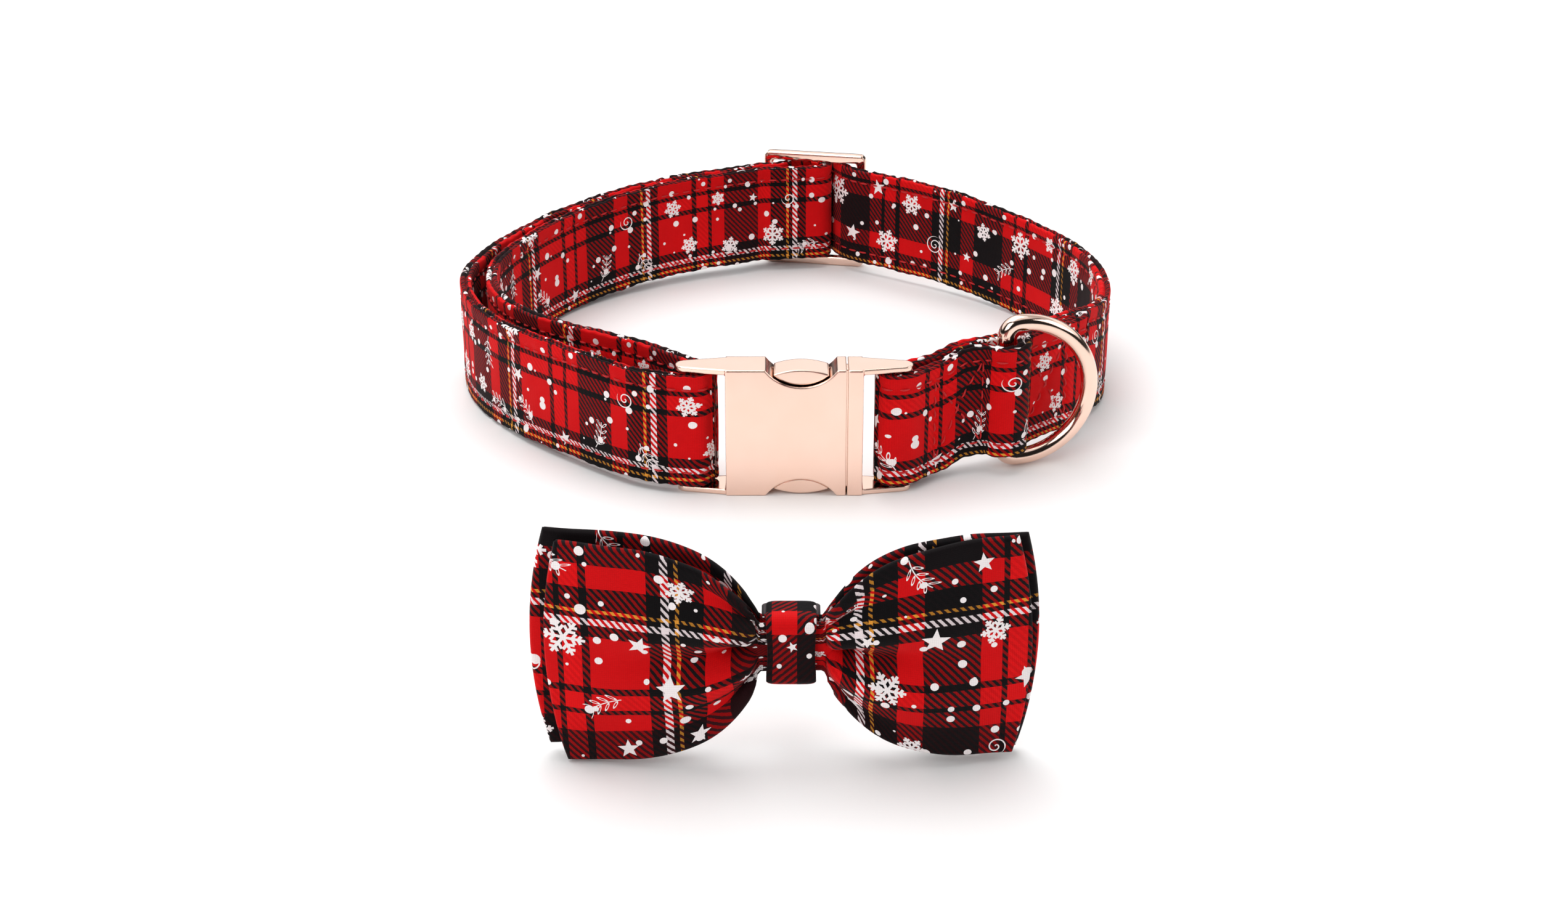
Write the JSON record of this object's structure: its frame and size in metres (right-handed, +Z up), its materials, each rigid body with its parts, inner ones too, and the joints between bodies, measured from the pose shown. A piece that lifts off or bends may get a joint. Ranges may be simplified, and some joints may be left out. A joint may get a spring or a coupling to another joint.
{
  "type": "pet bow tie collar",
  "caption": "Adjustable cloth-covered pet collar with a metal side-release buckle, slider and lead ring, with its slip-on bow standing in front.",
  "frame": {"origin": "on the floor, under the middle of the box of all that is built", "axes": "+Z up, +X along the buckle to the right as seen from the front, +Y from the buckle to the slider; the bow stands at -Y and faces -Y"},
  "size_m": [0.1508, 0.256, 0.0438],
  "materials": {
    "strap_cloth": "woven cotton tartan over webbing, topstitched",
    "bow_cloth": "fine woven cotton tartan",
    "polished_metal": "polished pale rose gold plating",
    "elastic": "ribbed elastic"
  },
  "bodies": {
    "collar": {"strap_left_run": "strap_cloth", "strap_right_run": "strap_cloth", "strap_adjusting_loop": "strap_cloth", "strap_sewn_end": "strap_cloth", "buckle_socket": "polished_metal", "buckle_tongue": "polished_metal", "release_button_top": "polished_metal", "release_button_bottom": "polished_metal", "slider": "polished_metal", "bow_front": "bow_cloth", "bow_back": "bow_cloth", "bow_knot": "bow_cloth", "bow_keeper": "elastic"},
    "ring": {"lead_ring": "polished_metal"}
  },
  "joints": [
    {"name": "ring_swing", "type": "hinge", "parent": "collar", "child": "ring", "pos_m": [0.04693, -0.00654, 0.01766], "axis": [0, 0, 1], "range_deg": [-145, 8]}
  ]
}
